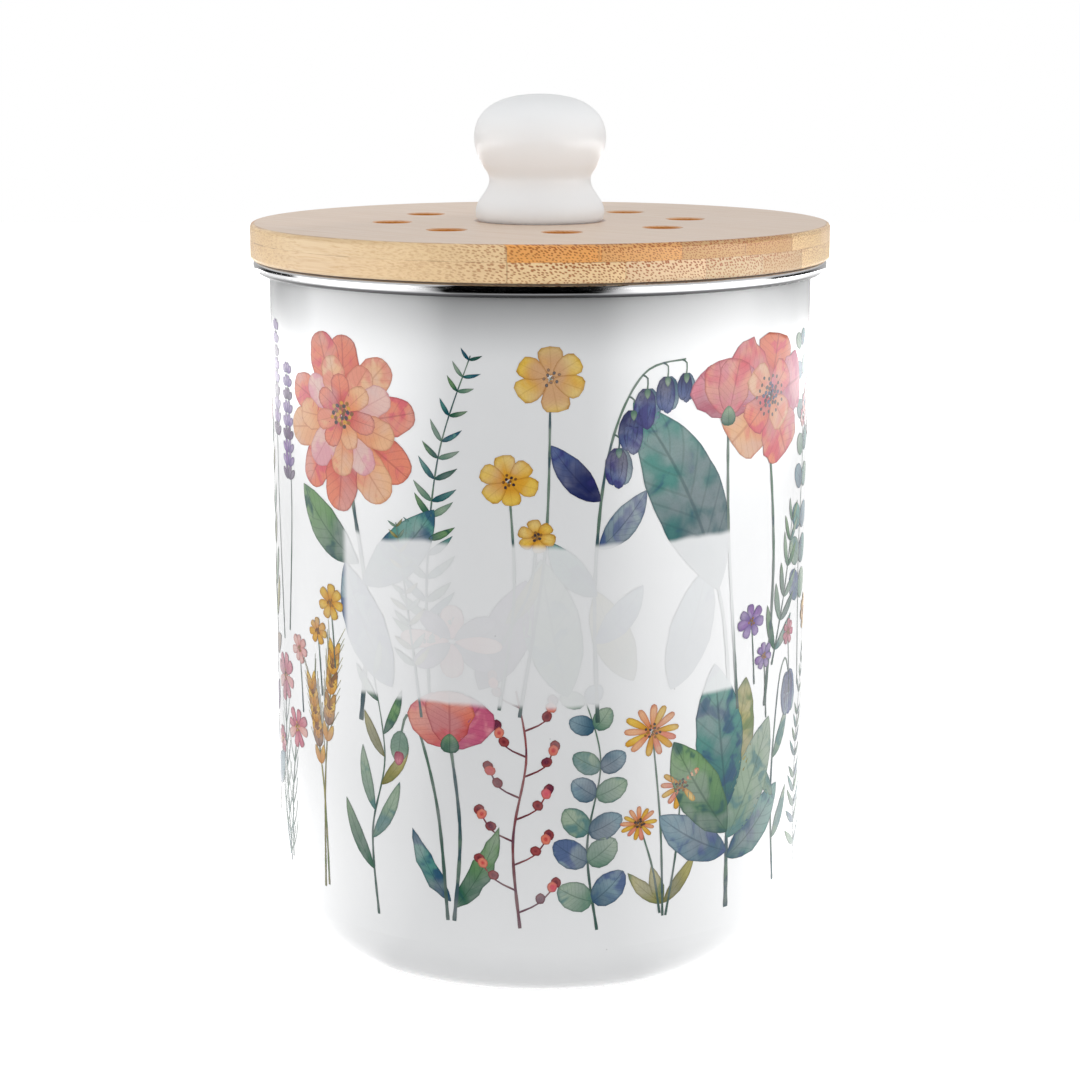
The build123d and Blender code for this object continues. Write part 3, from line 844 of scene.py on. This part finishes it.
def draw_middle(sheet):
    """Loose sprigs between the rows. Only the window and the gaps beside it show them."""
    for centre, radius, ink in (
        ((-71, 118), 6, "yellow"), ((-78, 108), 4.5, "yellow"),
        ((72, 112), 6, "lilac"), ((79, 100), 4.6, "lilac"), ((-90, 100), 5, "blush"),
        ((118, 106), 6, "yellow"), ((96, 104), 4.5, "rose"),
    ):
        stroke(
            sheet, "stem",
            [(centre[0] + 2, centre[1] - 20), (centre[0] + 1, centre[1] - 8), centre], 0.6, 0.4, 8,
        )
        corolla(sheet, [ink], centre, radius, 7, 0.6, (0.8, 0.32), 0.9, 0, 0.03, 9)
        seed_head(sheet, ["ochre"], centre, radius * 0.25, 6, 13)
    for base, lean, size, ink in (
        ((-46, 96), -30, 40, "slate"), ((-18, 98), 26, 36, "plum"), ((8, 96), -12, 42, "sage"),
        ((40, 96), 22, 38, "slate"), ((28, 100), -26, 30, "olive"),
    ):
        blade(sheet, ink, base, size, size * 0.4, lean, -lean * 0.5, (0.8, 0.85), 0.02, 1)
    corolla(sheet, ["blush", "plum"], (-26, 112), 16, 8, 0.5, (0.8, 0.5), 0.7, 0, 0.02, 2)


for name, draw in (
    ("print_upper_row", draw_upper), ("print_lower_row", draw_lower), ("print_middle", draw_middle),
):
    sheet = new_sheet()
    for repeat in range(2):
        sheet["shift"] = repeat * print_repeat
        draw(sheet)
    mesh = bpy.data.meshes.new(name)
    mesh.from_pydata(sheet["points"], [], sheet["faces"])
    for ink in ink_order:
        mesh.materials.append(inks[ink])
    mesh.polygons.foreach_set("material_index", sheet["inks"])
    patch = mesh.attributes.new("patch", "FLOAT_VECTOR", "POINT")
    patch.data.foreach_set("vector", [value for point in sheet["patch"] for value in point])
    tones = mesh.attributes.new("tone", "FLOAT", "POINT")
    tones.data.foreach_set("value", sheet["tone"])
    mesh.shade_smooth()
    piece = bpy.data.objects.new(name, mesh)
    scene.collection.objects.link(piece)
    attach(piece, "pail")


# Rim: a strip of bright stainless steel, folded and spun closed over the mouth. It is
# polished in the lathe, so its fine scratches run round it. Below about 2.5 mm from its top
# the strip is painted near black, a painted dark reflection.
steel_bright, steel_smeared, dark_reflection_black = (0.67, 0.67, 0.68, 1), (0.61, 0.61, 0.62, 1), (0.03, 0.03, 0.032, 1)
scratch_size, scratch_height = 0.00025, 0.000004


def reach_of(tree, first, second):
    """The distance from the axis, from two level measures at right angles."""
    squares = [calc(tree, "POWER", measure, 2.0) for measure in (first, second)]
    return calc(tree, "SQRT", calc(tree, "ADD", *squares))


def join(tree, *parts):
    """A vector of two or three values."""
    return add_node(tree, "CombineXYZ", dict(enumerate(parts))).outputs[0]


polished, tree, shader = new_material("polished_steel", Metallic=1.0)
place = axes_of(tree, object_coords(tree))
turn = calc(tree, "ARCTAN2", place["X"], place["Y"])
lathe = join(tree, times(tree, turn, 0.004), reach_of(tree, place["X"], place["Y"]), place["Z"])
scratch = fine_noise(tree, lathe, scratch_size, 2.0)
smear = fine_noise(tree, object_coords(tree), 0.018, 3.0)
rim_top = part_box("rim_trim")[1].z
# Painted dark reflection: the lower band of the strip is coloured near black.
painted_dark_band = remap(tree, place["Z"], rim_top - 0.0025, rim_top - 0.0034)
steel = mix(tree, remap(tree, smear, 0.4, 0.7), steel_bright, steel_smeared)
feed(
    tree,
    shader,
    Roughness=calc(
        tree, "ADD", remap(tree, scratch, 0.4, 0.75, 0.07, 0.15), remap(tree, smear, 0.5, 0.75, 0.0, 0.06),
    ),
    Base_Color=mix(tree, painted_dark_band, steel, dark_reflection_black),
    Height=(scratch, scratch_height),
)
dress("rim_trim", polished)


# Lid: three plies of edge-glued bamboo strips, lacquered. The fibres run level, from
# the back left to the front right. They end on the right half of the edge as brown dots,
# dense near the outer skin of the cane, and run along the left half as fine streaks.
fibre_turn = math.radians(45)

# Each strip has the place where it starts, across the fibres, and its colour.
ply_strips = {
    "lid_upper_ply": (
        (-0.100, (0.93, 0.67, 0.37)), (-0.0704, (0.94, 0.42, 0.10)), (-0.0514, (0.82, 0.42, 0.14)),
        (-0.029, (0.65, 0.38, 0.155)), (-0.007, (0.63, 0.355, 0.13)), (0.015, (0.90, 0.63, 0.30)),
        (0.037, (0.95, 0.68, 0.38)), (0.060, (0.94, 0.66, 0.36)),
    ),
    "lid_lower_ply": (
        (-0.100, (0.94, 0.67, 0.37)), (-0.0703, (0.96, 0.69, 0.375)), (-0.0448, (0.88, 0.64, 0.39)),
        (-0.0212, (0.74, 0.55, 0.32)), (0.0003, (0.68, 0.46, 0.24)), (0.0212, (0.92, 0.66, 0.34)),
        (0.043, (0.96, 0.68, 0.33)), (0.065, (0.93, 0.62, 0.29)),
    ),
    "lid_plug_ply": (
        (-0.100, (0.70, 0.50, 0.29)), (-0.052, (0.74, 0.53, 0.30)), (-0.031, (0.70, 0.45, 0.22)),
        (-0.008, (0.75, 0.54, 0.31)), (0.017, (0.68, 0.47, 0.27)), (0.041, (0.73, 0.52, 0.30)),
    ),
}
strips_from, strips_span = -0.1, 0.2

# A fibre bundle's size in each ply, and the colours of the marks in the wood. The vent
# walls' colour is partly painted shade, and a painted shade lies on the top round the sole of the knob.
fibre_cells = {"lid_upper_ply": 0.00072, "lid_lower_ply": 0.00084, "lid_plug_ply": 0.00084}
face_wood, warm_grain, pale_patch = (0.85, 0.65, 0.50, 1), (0.60, 0.36, 0.16, 1), (0.82, 0.62, 0.40, 1)
streak_brown, vessel_brown = (0.56, 0.28, 0.09, 1), (0.40, 0.09, 0.005, 1)
seam_brown, vent_brown_and_shade = (0.30, 0.13, 0.05, 1), (0.78, 0.28, 0.03, 1)
glue_brown, painted_shade_brown = (0.32, 0.11, 0.03, 1), (0.22, 0.07, 0.015, 1)


def along_and_across(tree):
    """How far a point lies along the fibres and across them, and its height."""
    x, y, z = axes_of(tree, object_coords(tree))
    sine, cosine = math.sin(fibre_turn), math.cos(fibre_turn)
    along = calc(tree, "SUBTRACT", times(tree, x, sine), times(tree, y, cosine))
    return along, calc(tree, "ADD", times(tree, x, cosine), times(tree, y, sine)), z


bamboo, given, result = new_group(
    "bamboo",
    {
        "Wood": "color", "Seam": "float", "Ply_Top": "float", "Ply_Height": "float", "Cell": "float",
        "Radius": "float",
    },
    {"Color": "color", "Roughness": "float", "Height": "float"},
)
along, across, height = along_and_across(bamboo)
depth = calc(
    bamboo, "DIVIDE", calc(bamboo, "SUBTRACT", given["Ply_Top"], height), given["Ply_Height"], clamp=True,
)
radius = reach_of(bamboo, along, across)
normal = axes_of(bamboo, add_node(bamboo, "NewGeometry").outputs["Normal"])
# Which face a point is on: the walls of the vents and the round edge show cut fibres.
upright = remap(bamboo, calc(bamboo, "ABSOLUTE", normal["Z"]), 0.85, 0.5)
holes = times(bamboo, remap(bamboo, radius, 0.062, 0.060), upright)
edge_face = calc(
    bamboo, "MAXIMUM", holes,
    remap(bamboo, calc(bamboo, "SUBTRACT", given["Radius"], radius), 0.0016, 0.0008),
)
cut_ends = remap(bamboo, calc(bamboo, "DIVIDE", calc(bamboo, "ABSOLUTE", along), radius), 0.2, 0.9)
cut_ends = calc(bamboo, "MAXIMUM", holes, cut_ends)
# The cut ends of the fibres, as dots in bent rows, largest at the top of each ply.
stretched = join(
    bamboo, times(bamboo, along, 22.0), times(bamboo, across, 30.0), times(bamboo, height, 60.0),
)
sway = add_node(bamboo, "TexNoise", {"Vector": stretched, "Scale": 1.0, "Detail": 1.0}).outputs[0]
swayed = calc(bamboo, "ADD", across, times(bamboo, sway, 0.003))
risen = calc(bamboo, "ADD", height, times(bamboo, sway, 0.0016))
row = calc(bamboo, "DIVIDE", risen, given["Cell"])
column = calc(bamboo, "DIVIDE", swayed, times(bamboo, given["Cell"], 1.1))
section = join(bamboo, calc(bamboo, "ADD", column, times(bamboo, row, 0.5)), row)
inputs = {"Vector": section, "Scale": 1.0, "Randomness": 0.8}
cells = add_node(bamboo, "TexVoronoi", inputs, voronoi_dimensions="2D")
reach = remap(bamboo, depth, 0.0, 0.75, 0.46, 0.34, smooth=False)
dots = remap(bamboo, calc(bamboo, "DIVIDE", cells.outputs["Distance"], reach), 1.0, 0.5)


def long_noise(thick, length, detail):
    """Noise in cells that are long in the way of the fibres. Sizes are in metres."""
    places = ((along, length), (swayed, thick), (risen, thick))
    parts = [calc(bamboo, "DIVIDE", place, size) for place, size in places]
    inputs = {"Vector": join(bamboo, *parts), "Scale": 1.0, "Detail": detail, "Roughness": 0.6}
    return add_node(bamboo, "TexNoise", inputs).outputs[0]


# The colour of the wood, with broad bands, pale patches, streaks, dots, seams and vents.
streaks = long_noise(0.0005, 0.022, 3.0)
broad = long_noise(0.004, 0.08, 2.0)
patches = fine_noise(bamboo, object_coords(bamboo), 0.03, 2.0)
wood = mix(bamboo, calc(bamboo, "SUBTRACT", 1.0, edge_face), given["Wood"], face_wood)
paling = remap(bamboo, along, 0.0, 0.055, 0.86, 1.0)
paling = calc(bamboo, "MAXIMUM", paling, remap(bamboo, along, 0.0, -0.05, 0.86, 1.12))
paling = calc(bamboo, "MAXIMUM", paling, calc(bamboo, "SUBTRACT", 1.0, edge_face))
wood = mix(bamboo, 1.0, wood, paling, "MULTIPLY")
wood = mix(bamboo, remap(bamboo, broad, 0.35, 0.75, 0.0, 0.15), wood, warm_grain)
wood = mix(bamboo, remap(bamboo, patches, 0.4, 0.7, 0.0, 0.12), wood, pale_patch)
lines = times(
    bamboo, remap(bamboo, edge_face, 0.0, 1.0, 0.20, 0.36), remap(bamboo, cut_ends, 0.0, 1.0, 1.0, 0.4),
)
wood = mix(bamboo, times(bamboo, remap(bamboo, streaks, 0.45, 0.68), lines), wood, streak_brown)
dotting = times(bamboo, edge_face, remap(bamboo, cut_ends, 0.0, 1.0, 0.10, 1.0))
dotting = times(bamboo, dotting, remap(bamboo, depth, 0.0, 0.9, 1.0, 0.8, smooth=False))
dotting = times(bamboo, dotting, remap(bamboo, across, -0.01, 0.03, 1.0, 0.6))
wood = mix(bamboo, times(bamboo, dots, dotting), wood, vessel_brown)
seam = times(bamboo, given["Seam"], remap(bamboo, edge_face, 0.0, 1.0, 0.16, 0.45))
wood = mix(bamboo, seam, wood, seam_brown)
# The walls of the vents: cut fibres, and painted shade of the deep holes, darker and more orange.
wood = mix(bamboo, times(bamboo, holes, 0.75), wood, vent_brown_and_shade)
# The glue line where two plies meet, and the painted shade at the sole of the knob.
to_face = calc(bamboo, "MINIMUM", depth, calc(bamboo, "SUBTRACT", 1.0, depth))
glue_gap = times(bamboo, to_face, given["Ply_Height"])
glue_edge = remap(bamboo, fine_noise(bamboo, object_coords(bamboo), 0.009, 2.0), 0.42, 0.66, 0.0, 0.0002)
glue = times(
    bamboo, remap(bamboo, calc(bamboo, "SUBTRACT", glue_gap, glue_edge), 0.00006, -0.00004), edge_face,
)
wood = mix(bamboo, times(bamboo, glue, 0.4), wood, glue_brown)
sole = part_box("knob")[1].x
# Painted shade: a dark ring round the knob's sole, as its contact shadow.
painted_shade_under_knob = remap(bamboo, radius, sole + 0.0005, sole - 0.0007, 0.0, 0.7)
wood = mix(bamboo, times(bamboo, painted_shade_under_knob, calc(bamboo, "SUBTRACT", 1.0, holes)), wood, painted_shade_brown)
relief = calc(bamboo, "ADD", given["Seam"], times(bamboo, dots, dotting))
give(
    bamboo,
    result,
    Color=wood,
    Roughness=remap(bamboo, streaks, 0.3, 0.7, 0.30, 0.42),
    Height=calc(bamboo, "SUBTRACT", streaks, relief),
)

for node, strips in ply_strips.items():
    lowest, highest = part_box(node)
    material, tree, shader = new_material(
        node.replace("lid", "bamboo"), Coat_Weight=0.2, Coat_Roughness=0.25,
    )
    across = along_and_across(tree)[1]
    ramp = add_node(
        tree, "ValToRGB", {0: times(tree, calc(tree, "SUBTRACT", across, strips_from), 1 / strips_span)},
    )
    ramp.color_ramp.interpolation = "CONSTANT"
    marks = ramp.color_ramp.elements
    for index, (start, color) in enumerate(strips):
        stop = marks[0] if not index else marks.new((start - strips_from) / strips_span)
        stop.color = rgba(color)
    marks.remove(marks[-1])
    gap = 1.0
    for start, _ in strips[1:]:
        gap = calc(tree, "MINIMUM", calc(tree, "ABSOLUTE", calc(tree, "SUBTRACT", across, start)), gap)
    inputs = {
        "Wood": ramp.outputs[0], "Seam": remap(tree, gap, 0.00018, 0.00006), "Cell": fibre_cells[node],
        "Ply_Top": highest.z, "Ply_Height": highest.z - lowest.z, "Radius": highest.x,
    }
    grain = use_group(tree, bamboo, inputs)
    feed(
        tree, shader, Base_Color=grain["Color"], Roughness=grain["Roughness"],
        Height=(grain["Height"], 0.00003),
    )
    dress(node, material)


# Seal: translucent silicone, moulded in one piece, stretched into the groove of the
# plug. Matt flanks with a little bloom of dust.
silicone, tree, shader = new_material(
    "silicone", Subsurface_Weight=0.35, Subsurface_Scale=0.0015, Subsurface_Radius=(1.0, 0.95, 0.9)
)
bloom = fine_noise(tree, object_coords(tree), 0.006, 3.0)
grain = fine_noise(tree, object_coords(tree), 0.0002, 1.0)
feed(
    tree,
    shader,
    Base_Color=mix(tree, bloom, (0.72, 0.74, 0.73, 1), (0.82, 0.83, 0.82, 1)),
    Roughness=remap(tree, bloom, 0.3, 0.7, 0.38, 0.52),
    Height=(grain, 0.00001),
)
dress("lid_seal", silicone)


# Knob: turned white stoneware under a clear gloss glaze, screwed on from below. The
# glaze is a little uneven, as it pools in the kiln, and light sinks into it.
glazed, tree, shader = new_material(
    "knob_glaze", Coat_Weight=0.15, Coat_Roughness=0.12, Specular_IOR_Level=0.25, Subsurface_Weight=0.6,
    Subsurface_Scale=0.01, Subsurface_Radius=(1.0, 1.0, 1.0),
)
pooling = fine_noise(tree, object_coords(tree), 0.012, 2.0)
ripple = fine_noise(tree, object_coords(tree), 0.005, 1.0)
feed(
    tree,
    shader,
    Base_Color=mix(tree, pooling, (0.96, 0.96, 0.955, 1), (0.98, 0.98, 0.98, 1)),
    Roughness=remap(tree, pooling, 0.3, 0.7, 0.30, 0.38),
    Height=(ripple, 0.00003),
)
dress("knob", glazed)


# Fasteners: a turned brass insert in the knob, and zinc-plated steel screws and washer.
# The turning marks run round the axis of the caddy.
turning_marks = 26000.0
turned, given, result = new_group(
    "turned_metal", {"Light": "color", "Deep": "color"}, {
        "Color": "color", "Roughness": "float", "Height": "float",
    }
)
place = axes_of(turned, object_coords(turned))
rings = calc(turned, "SINE", times(turned, reach_of(turned, place["X"], place["Y"]), turning_marks))
dull = fine_noise(turned, object_coords(turned), 0.0012, 3.0)
give(
    turned,
    result,
    Color=mix(turned, dull, given["Light"], given["Deep"]),
    Roughness=remap(turned, dull, 0.3, 0.7, 0.2, 0.38),
    Height=calc(turned, "ADD", times(turned, rings, 0.3), dull),
)
metals = {
    "brass": ((0.74, 0.53, 0.22), (0.56, 0.38, 0.14), ("knob_insert",)),
    "zinc": ((0.68, 0.69, 0.70), (0.50, 0.51, 0.54), ("knob_screw", "knob_washer", "frame_screws")),
}
for name, (light, deep, nodes) in metals.items():
    metal, tree, shader = new_material(name, Metallic=1.0)
    skin = use_group(tree, turned, {"Light": rgba(light), "Deep": rgba(deep)})
    feed(
        tree, shader, Base_Color=skin["Color"], Roughness=skin["Roughness"],
        Height=(skin["Height"], 0.00002),
    )
    for node in nodes:
        dress(node, metal)


# Filter frame and cover: moulded in matt off-white plastic, with a spark-eroded texture
# and the faint flow marks that such mouldings have.
moulded, tree, shader = new_material("filter_plastic")
texture = fine_noise(tree, object_coords(tree), 0.00035, 2.0)
flow = fine_noise(tree, object_coords(tree), 0.02, 2.0)
feed(
    tree,
    shader,
    Base_Color=mix(tree, flow, (0.74, 0.73, 0.70, 1), (0.79, 0.785, 0.76, 1)),
    Roughness=remap(tree, texture, 0.3, 0.7, 0.42, 0.58),
    Height=(texture, 0.00003),
)
dress("filter_frame", moulded)
dress("filter_cover", moulded)


# Charcoal pad: a die-cut disc of needled felt, loaded with carbon. It is 8 mm thick,
# a little crowned, with cut edges that roll over and a nap of short fibres.
pad_low, pad_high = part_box("charcoal_pad")
pad_radius = pad_high.x
pad_centre_z = (pad_low.z + pad_high.z) / 2
pad_half = (pad_high.z - pad_low.z) / 2
pad_rows, pad_columns = 44, 120
pad_squareness, pad_fullness, pad_margin = 0.22, 0.96, 0.00005
pad_mesh = bmesh.new()
pad_rings = []
for step in range(1, pad_rows):
    side, rise = math.sin(math.pi * step / pad_rows), math.cos(math.pi * step / pad_rows)
    squared = abs(rise) ** pad_squareness * (1 if rise > 0 else -1)
    ring = []
    for column in range(pad_columns):
        turn = 2 * math.pi * column / pad_columns
        wave = noise.noise(Vector((math.cos(turn) * 3, math.sin(turn) * 3, rise * 1.5)))
        radius = pad_radius * math.sqrt(side) * (0.992 + 0.006 * wave)
        height = pad_centre_z + pad_half * squared * pad_fullness
        spot = Vector((radius * math.cos(turn), radius * math.sin(turn), height))
        lump = noise.noise(spot * 90) * 0.00022 + noise.noise(spot * 420) * 0.00012
        spot.z = min(pad_high.z - pad_margin, max(pad_low.z + pad_margin, spot.z + lump))
        ring.append(pad_mesh.verts.new(spot))
    pad_rings.append(ring)
for upper, lower in zip(pad_rings, pad_rings[1:]):
    for column in range(pad_columns):
        after = (column + 1) % pad_columns
        pad_mesh.faces.new((upper[column], lower[column], lower[after], upper[after]))
for ring, end in ((pad_rings[0], pad_high.z - 0.0002), (pad_rings[-1], pad_low.z + 0.0002)):
    middle = pad_mesh.verts.new((0, 0, end))
    for column in range(pad_columns):
        after = (column + 1) % pad_columns
        corner = (ring[column], ring[after]) if end > pad_centre_z else (ring[after], ring[column])
        pad_mesh.faces.new((*corner, middle))
felt_mesh = bpy.data.meshes.new("felt_pad")
pad_mesh.to_mesh(felt_mesh)
pad_mesh.free()
felt_mesh.shade_smooth()
felt_pad = bpy.data.objects.new("felt_pad", felt_mesh)
scene.collection.objects.link(felt_pad)
felt, tree, shader = new_material("charcoal_felt", Roughness=0.95, Sheen_Weight=0.35, Sheen_Roughness=0.5)
coords = object_coords(tree)
bend = add_node(tree, "TexNoise", {"Vector": coords, "Scale": 260.0, "Detail": 1.0}).outputs["Color"]
swirl = add_node(tree, "VectorMath", {0: bend, 1: (0.006, 0.006, 0.006)}, operation="MULTIPLY").outputs[0]
warped = add_node(tree, "VectorMath", {0: coords, 1: swirl}, operation="ADD").outputs[0]
hairs = add_node(
    tree, "TexWave", {"Vector": warped, "Scale": 900.0, "Distortion": 6.0, "Detail": 2.0},
).outputs["Fac"]
flecks = remap(tree, fine_noise(tree, coords, 0.0006, 2.0), 0.62, 0.72)
fibre = mix(tree, hairs, (0.018, 0.018, 0.019, 1), (0.055, 0.055, 0.058, 1))
feed(
    tree,
    shader,
    Base_Color=mix(tree, times(tree, flecks, 0.4), fibre, (0.16, 0.16, 0.165, 1)),
    Height=(calc(tree, "ADD", hairs, flecks), 0.00012),
)
felt_mesh.materials.append(felt)
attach(felt_pad, "filter_cover")
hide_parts("charcoal_pad")
